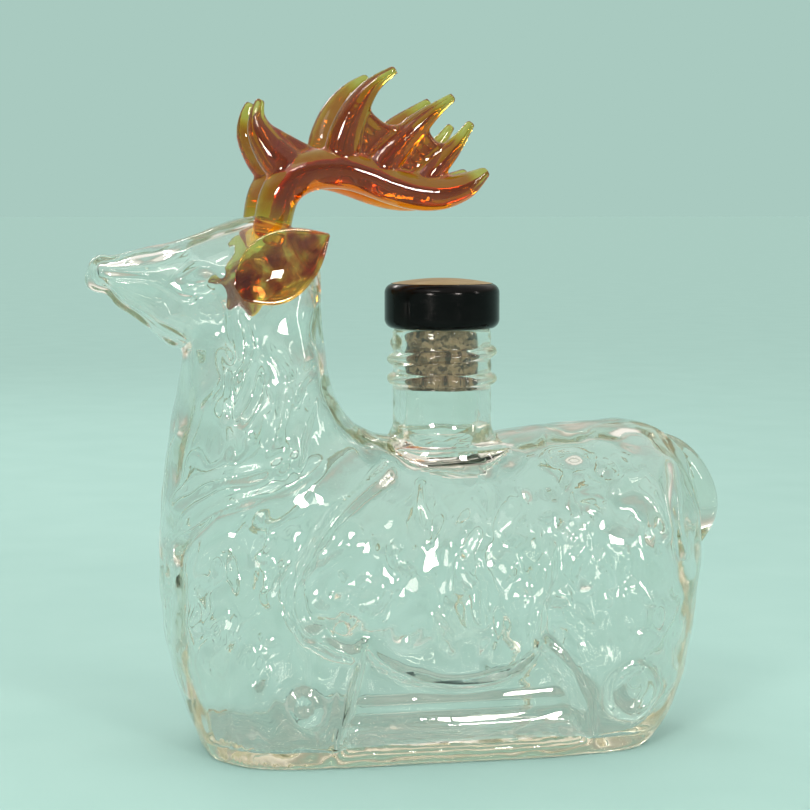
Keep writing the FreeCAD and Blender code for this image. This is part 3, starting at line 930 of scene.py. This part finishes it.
def tint_antler(antler, rods):
    """Pale at the tips, along the tines' edges and at the root; deep along the beam and in the cores, and
    on the underside as painted shade.
    """
    places, normals = mesh_arrays(antler)
    beam = rod_grid(*rods[0], ROD_RINGS, AXIS_AROUND)[0].mean(axis=1)
    tips = [rod[0][-1] for rod in rods[:len(TINE_SHARES) + 1]]
    on_tine = smooth_step(*TINE_TURN, gap_to(places, beam) - BEAM_RADIUS)
    edge = 1 - smooth_step(*EDGE_TURN, np.abs(normals[:, 1]))
    tip = 1 - smooth_step(*TIP_TURN, gap_to(places, tips))
    root = 1 - smooth_step(*ROOT_TURN, places[:, 2] - ANTLER_ROOT)
    # Painted shade: the underside is kept deep, and its edges are not paled
    above = 1 - smooth_step(*UNDERSIDE_PAINTED_SHADE_TURN, -normals[:, 2])
    edge_tint = BEAM_EDGE_TINT + (1 - BEAM_EDGE_TINT) * on_tine
    store_tint(antler, np.maximum(edge * edge_tint * above, np.maximum(tip, ROOT_TINT * root)))


def left_antler():
    """Amber antler: beam and tines drawn from rod and melted into one another."""
    rods = antler_rods()
    antler = joined("left_antler", [rod_grid(*rod, ROD_RINGS, ROD_AROUND) for rod in rods])
    melt = antler.modifiers.new("melt", "REMESH")
    melt.mode = "VOXEL"
    melt.voxel_size = ANTLER_VOXEL * MM
    flow = antler.modifiers.new("flow", "SMOOTH")
    flow.factor = FLOW_FACTOR
    flow.iterations = FLOW_STEPS
    settle(antler)
    seat_on_head(antler)
    weld(antler)
    antler.data.shade_smooth()
    tint_antler(antler, rods)
    return antler


def left_ear():
    """Cupped amber leaf, fused to the side of the head."""
    back, out, up = EAR_LEAN_SHARES
    lean = unit(np.array([back, -out, up]))
    broad = unit(UPRIGHT - lean * UPRIGHT.dot(lean))
    normal = np.cross(lean, broad)
    root = np.array([-EAR_SETBACK, EAR_INSET - HEAD_WIDTH / 2, EAR_HEIGHT])
    turn = full_turn(EAR_AROUND)
    breadth = np.cos(turn)
    loops = []
    for along, width, thickness in EAR_SHARES:
        depth = np.sin(turn) * EAR_THICKNESS * thickness / 2 + EAR_CUP * (breadth ** 2 - 1) * width
        middle = root + lean * along * EAR_LENGTH
        loops.append(middle + np.outer(breadth * width * EAR_WIDTH / 2, broad) + np.outer(depth, normal))
    knots = [along for along, *_ in EAR_SHARES]
    grid = smooth_through(knots, loops, np.linspace(0, 1, EAR_RINGS))
    ear = closed_tube("left_ear", grid, grid[0].mean(axis=0), grid[-1].mean(axis=0))
    seat_on_head(ear)
    weld(ear)
    shade(ear, EAR_SHARP)
    breadth = np.abs((mesh_arrays(ear)[0] - root) @ broad) / (EAR_WIDTH / 2)
    edge = smooth_step(*EAR_EDGE_TURN, breadth)
    store_tint(ear, EAR_MIDDLE_TINT + (1 - EAR_MIDDLE_TINT) * edge)
    return ear


def stopper_plug():
    """Cork shank with a bevelled foot."""
    radius = BORE_RADIUS - PLUG_CLEARANCE
    foot = radius - PLUG_CHAMFER
    low = LIP_HEIGHT - PLUG_LENGTH
    side = low + PLUG_CHAMFER
    top = LIP_HEIGHT + SOCKET_DEPTH
    profile = [(0, low), (foot - RING_STEP, low)]
    profile += run_points((foot, low + PLUG_FOOT_EASE), (radius - PLUG_SIDE_EASE, side), step=0.4)
    profile += run_points((radius, side + RING_STEP), (radius, top), step=0.6)
    profile += [(0, top)]
    return lathe("cork_plug", profile, BORE_AROUND)


def stopper_head():
    """Black head with rounded edges, seated on the rim and holding the plug and the disc."""
    low = LIP_HEIGHT + HEAD_LIFT
    top = LIP_HEIGHT + HEAD_HEIGHT
    straight = HEAD_RADIUS - HEAD_ROUND
    side_low = low + HEAD_ROUND
    side_top = top - HEAD_ROUND
    socket = BORE_RADIUS + SOCKET_PLAY
    roof = LIP_HEIGHT + SOCKET_DEPTH + SOCKET_ROOF_PLAY
    pocket = INLAY_RADIUS + INLAY_PLAY
    profile = [(0, roof), (socket, roof), (socket, low)]
    profile += run_points((BORE_RADIUS + UNDERSIDE_STEP, low), (straight, low), step=1)
    profile += arc_points((straight, side_low), HEAD_ROUND, -85, 0, steps=10)
    profile += run_points((HEAD_RADIUS, side_low + RING_STEP), (HEAD_RADIUS, side_top - RING_STEP), 0.8)
    profile += arc_points((straight, side_top), HEAD_ROUND, 0, 75, steps=9)
    profile += [(INLAY_RADIUS + 2 * INLAY_PLAY, top - INLAY_LIFT), (pocket, top - INLAY_EASE)]
    profile += [(pocket, top - INLAY_DEPTH), (0, top - INLAY_DEPTH)]
    return lathe("stopper_head_cap", profile, HEAD_AROUND)


def stopper_inlay():
    """Wooden disc with a low dome and an eased edge."""
    top = LIP_HEIGHT + HEAD_HEIGHT
    low = top - INLAY_DEPTH + INLAY_LIFT
    dome = (INLAY_RADIUS ** 2 + INLAY_DOME ** 2) / (2 * INLAY_DOME)
    profile = [(0, low), (INLAY_RADIUS, low), (INLAY_RADIUS, top - INLAY_EDGE_DROP)]
    profile += [(INLAY_RADIUS - INLAY_EASE, top - INLAY_EASE / 2)]
    for radius in np.linspace(INLAY_RADIUS - RING_STEP, INLAY_CENTRE, INLAY_RINGS):
        profile.append((radius, top + INLAY_DOME - dome + math.sqrt(dome ** 2 - radius ** 2)))
    profile.append((0, top + INLAY_DOME))
    return lathe("wooden_disc", profile, HEAD_AROUND)


def set_stops(node, stops):
    """Places and colours of a colour ramp's marks."""
    marks = node.color_ramp.elements
    while len(marks) < len(stops):
        marks.new(0.5)
    for mark, (place, colour) in zip(marks, stops):
        mark.position = place
        mark.color = (*colour, 1)


class Nodes:
    """Short way to build a node material."""

    def __init__(self, name):
        self.material = bpy.data.materials.new(name)
        self.material.use_nodes = True
        self.tree = self.material.node_tree
        self.shader = self.tree.nodes["Principled BSDF"]
        self.output = self.tree.nodes["Material Output"]

    def add(self, kind, links=None, **values):
        """New node, with its properties or inputs set and its inputs linked."""
        node = self.tree.nodes.new(kind)
        for key, value in values.items():
            if key in node.inputs:
                node.inputs[key].default_value = value
            else:
                setattr(node, key, value)
        for key, source in (links or {}).items():
            self.tree.links.new(source, node.inputs[key])
        return node

    def set(self, **values):
        """Constants on the shader's own sockets."""
        for key, value in values.items():
            self.shader.inputs[key.replace("_", " ")].default_value = value

    def link(self, source, socket):
        """Links a source to a socket of the shader."""
        self.tree.links.new(source, self.shader.inputs[socket])

    def place(self, scale=(1, 1, 1)):
        """The piece's own coordinates, stretched."""
        where = self.add("ShaderNodeTexCoord").outputs["Object"]
        return self.add("ShaderNodeMapping", {"Vector": where}, Scale=scale).outputs["Vector"]

    def noise(self, where, size, detail=3.0, roughness=0.5):
        """Noise with features of about a size in millimetres."""
        return self.add("ShaderNodeTexNoise", {"Vector": where}, Scale=1 / (size * MM), Detail=detail,
                        Roughness=roughness).outputs["Fac"]

    def ramp(self, source, stops):
        """Colours along a value."""
        node = self.add("ShaderNodeValToRGB", {"Fac": source})
        set_stops(node, stops)
        return node.outputs["Color"]

    def absorb(self, colour, density):
        """Colour taken up inside the piece, per metre of depth."""
        node = self.add("ShaderNodeVolumeAbsorption", Color=(*colour, 1), Density=density)
        self.tree.links.new(node.outputs["Volume"], self.output.inputs["Volume"])

    def bump(self, source, height, strength):
        """Bump of a height in millimetres."""
        node = self.add("ShaderNodeBump", {"Height": source}, Distance=height * MM, Strength=strength)
        self.link(node.outputs["Normal"], "Normal")


def clear_glass():
    """Moulded clear glass with a slight ripple, faintly warm where it is thick."""
    m = Nodes("clear_glass_moulded")
    m.set(Transmission_Weight=1.0, IOR=1.5, Roughness=0.0)
    where = m.place()
    m.link(m.ramp(m.noise(where, size=14), GLASS_STOPS), "Base Color")
    m.bump(m.noise(where, size=5, detail=2.0), height=0.12, strength=0.5)
    m.absorb(colour=(0.955, 0.945, 0.905), density=80.0)
    return m.material


def amber_glass(name, stops, blotch, share, absorbed, density):
    """Worked amber glass, paler where its tint is high, with blotches of a size and share."""
    m = Nodes(name)
    m.set(Transmission_Weight=1.0, IOR=1.5, Roughness=0.02)
    where = m.place()
    pale = m.add("ShaderNodeAttribute", attribute_name="tint").outputs["Fac"]
    uneven = m.add("ShaderNodeMath", {0: m.noise(where, blotch)}, operation="MULTIPLY_ADD")
    uneven.inputs[1].default_value = share
    uneven.inputs[2].default_value = -share / 2
    tone = m.add("ShaderNodeMath", {0: pale, 1: uneven.outputs[0]}, operation="ADD")
    m.link(m.ramp(tone.outputs[0], stops), "Base Color")
    m.bump(m.noise(where, size=4, detail=2.0), height=0.15, strength=0.5)
    m.absorb(absorbed, density)
    return m.material


def black_plastic():
    """Glossy black moulding with faint handling marks."""
    m = Nodes("black_gloss")
    where = m.place()
    m.set(IOR=1.2)
    m.link(m.ramp(m.noise(where, size=6), BLACK_STOPS), "Base Color")
    scuffs = m.noise(m.place((1, 1, 6)), size=1.6, detail=4.0, roughness=0.7)
    m.link(m.ramp(scuffs, SCUFF_STOPS), "Roughness")
    m.bump(m.noise(where, size=3), height=0.03, strength=0.4)
    return m.material


def turned_wood():
    """Pale wood with long grain and fine pores."""
    m = Nodes("turned_wood")
    grain = m.noise(m.place((0.12, 1, 1)), size=1.5, detail=5.0, roughness=0.65)
    pores = m.noise(m.place((0.08, 1, 1)), size=0.35, detail=2.0)
    m.link(m.ramp(grain, WOOD_STOPS), "Base Color")
    m.link(m.ramp(pores, PORE_STOPS), "Roughness")
    m.bump(pores, height=0.08, strength=0.5)
    return m.material


def cork():
    """Agglomerated cork: blotchy grains, dark specks and horizontal bands, darker and lighter."""
    m = Nodes("cork_grain")
    where = m.place()
    grain_size = 0.8 * MM
    grains = m.add("ShaderNodeTexVoronoi", {"Vector": where}, Scale=1 / grain_size).outputs["Color"]
    blotch = m.add("ShaderNodeSeparateColor", {"Color": grains}).outputs["Red"]
    bands = m.noise(m.place((0.05, 0.05, 1)), size=3.2, detail=2.0)
    specks = m.noise(where, size=1.6, detail=5.0, roughness=0.7)
    streaky = m.add("ShaderNodeMath", {0: bands, 1: specks}, operation="ADD")
    mixed = m.add("ShaderNodeMath", {0: blotch, 1: streaky.outputs[0]}, operation="ADD")
    third = m.add("ShaderNodeMath", {0: mixed.outputs[0]}, operation="DIVIDE")
    third.inputs[1].default_value = 3.0
    m.link(m.ramp(third.outputs[0], CORK_STOPS), "Base Color")
    m.set(Roughness=0.85)
    m.bump(third.outputs[0], height=0.25, strength=0.6)
    return m.material


def floor_piece():
    """Plain pale tabletop, far larger than the view, which the glass shows with half its shadow."""
    signs = ((-1, -1), (1, -1), (1, 1), (-1, 1))
    corners = [(x * FLOOR_REACH, y * FLOOR_REACH, -FLOOR_DROP) for x, y in signs]
    floor = mesh_object("floor", corners, [(0, 1, 2, 3)])
    m = Nodes("pale_floor")
    m.set(Roughness=0.8)
    m.link(m.ramp(m.noise(m.place(), size=40, detail=2.0), FLOOR_STOPS), "Base Color")
    in_glass = m.add("ShaderNodeLightPath").outputs["Is Transmission Ray"]
    glow = m.add("ShaderNodeEmission", Color=(*FLOOR_GLOW, 1)).outputs["Emission"]
    share = m.add("ShaderNodeMath", {0: in_glass}, operation="MULTIPLY")
    share.inputs[1].default_value = FLOOR_GLOW_SHARE
    seen = m.add("ShaderNodeMixShader", {0: share.outputs[0], 1: m.shader.outputs["BSDF"], 2: glow})
    m.tree.links.new(seen.outputs["Shader"], m.output.inputs["Surface"])
    floor.data.materials.append(m.material)


def studio_world():
    """Soft surround, paler overhead than to the sides."""
    world = bpy.data.worlds.new("studio")
    scene.world = world
    world.use_nodes = True
    tree = world.node_tree
    where = tree.nodes.new("ShaderNodeTexCoord")
    split = tree.nodes.new("ShaderNodeSeparateXYZ")
    ramp = tree.nodes.new("ShaderNodeValToRGB")
    tree.links.new(where.outputs["Generated"], split.inputs["Vector"])
    tree.links.new(split.outputs["Z"], ramp.inputs["Fac"])
    set_stops(ramp, WORLD_STOPS)
    tree.links.new(ramp.outputs["Color"], tree.nodes["Background"].inputs["Color"])


def add_lamp(name, kind, towards, strength, colour):
    """Lamp that shines from a direction."""
    lamp = put_in_scene(name, bpy.data.lights.new(name, kind))
    lamp.data.energy = strength
    lamp.data.color = colour
    lamp.rotation_euler = Vector(towards).to_track_quat("Z", "Y").to_euler()
    return lamp


def softbox(name, place, aim_height, size, watts, colour, spread):
    """Area light turned to a point on the mouth's axis; millimetres and degrees."""
    lamp = add_lamp(name, "AREA", Vector(place) - Vector((0, 0, aim_height)), watts, colour)
    lamp.location = Vector(place) * MM
    lamp.data.shape = "RECTANGLE"
    lamp.data.size, lamp.data.size_y = (side * MM for side in size)
    lamp.data.spread = math.radians(spread)


def look_from(azimuth, pitch, distance, aim):
    """Camera on the photograph's line of sight; degrees and millimetres."""
    camera = put_in_scene("camera", bpy.data.cameras.new("camera"))
    camera.data.sensor_width = SENSOR_WIDTH
    camera.data.lens = FOCAL_PIXELS * SENSOR_WIDTH / PHOTO_PIXELS
    camera.data.clip_start = CLIP_START
    turn = math.radians(azimuth)
    rise = math.radians(pitch)
    back = Vector((math.sin(turn) * math.cos(rise), -math.cos(turn) * math.cos(rise), math.sin(rise)))
    camera.location = Vector(aim) * MM + back * distance * MM
    camera.rotation_euler = back.to_track_quat("Z", "Y").to_euler()
    scene.camera = camera


def place_piece(piece, material, body, slot, *nodes):
    """Gives a piece its material, its body and the CAD nodes that it stands for."""
    piece.data.materials.clear()
    piece.data.materials.append(material)
    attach(piece, body)
    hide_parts(*nodes)


look_from(azimuth=-13, pitch=5.0, distance=556.1, aim=(-9.56, 0, 85.28))
floor_piece()
studio_world()
sun = add_lamp("soft_sun", "SUN", towards=(-0.45, -0.6, 0.75), strength=0.25, colour=(1.0, 0.97, 0.94))
sun.data.angle = math.radians(SUN_SPREAD)
for name, settings in SOFTBOXES.items():
    softbox(name, *settings)
scene.view_settings.view_transform = "Standard"
scene.cycles.max_bounces = 48
scene.cycles.transmission_bounces = 40
scene.cycles.glossy_bounces = 40

place_piece(glass_deer(), clear_glass(), "decanter", "clear_glass", "glass_body", "mouth_tube", "tail")
antler_material = amber_glass("amber_rod", ANTLER_STOPS, blotch=6, share=0.9,
                              absorbed=(0.85, 0.60, 0.18), density=80.0)
antler = left_antler()
ear_material = amber_glass("amber_leaf", EAR_STOPS, blotch=5, share=1.9,
                           absorbed=(0.86, 0.55, 0.20), density=60.0)
ear = left_ear()
right_antler = mirrored(antler, "right_antler")
right_ear = mirrored(ear, "right_ear")
for side, horn, leaf in (("left", antler, ear), ("right", right_antler, right_ear)):
    nodes = [f"{side}_{node}" for node in ANTLER_NODES]
    place_piece(horn, antler_material, "decanter", "amber_glass", *nodes)
    place_piece(leaf, ear_material, "decanter", "amber_glass", f"{side}_ear")
place_piece(stopper_plug(), cork(), "stopper", "cork", "stopper_plug")
place_piece(stopper_head(), black_plastic(), "stopper", "black_head", "stopper_head")
place_piece(stopper_inlay(), turned_wood(), "stopper", "inlay_wood", "stopper_inlay")
for name in ("cork_plug", "stopper_head_cap", "wooden_disc"):
    shade(bpy.data.objects[name], STOPPER_SHARP)
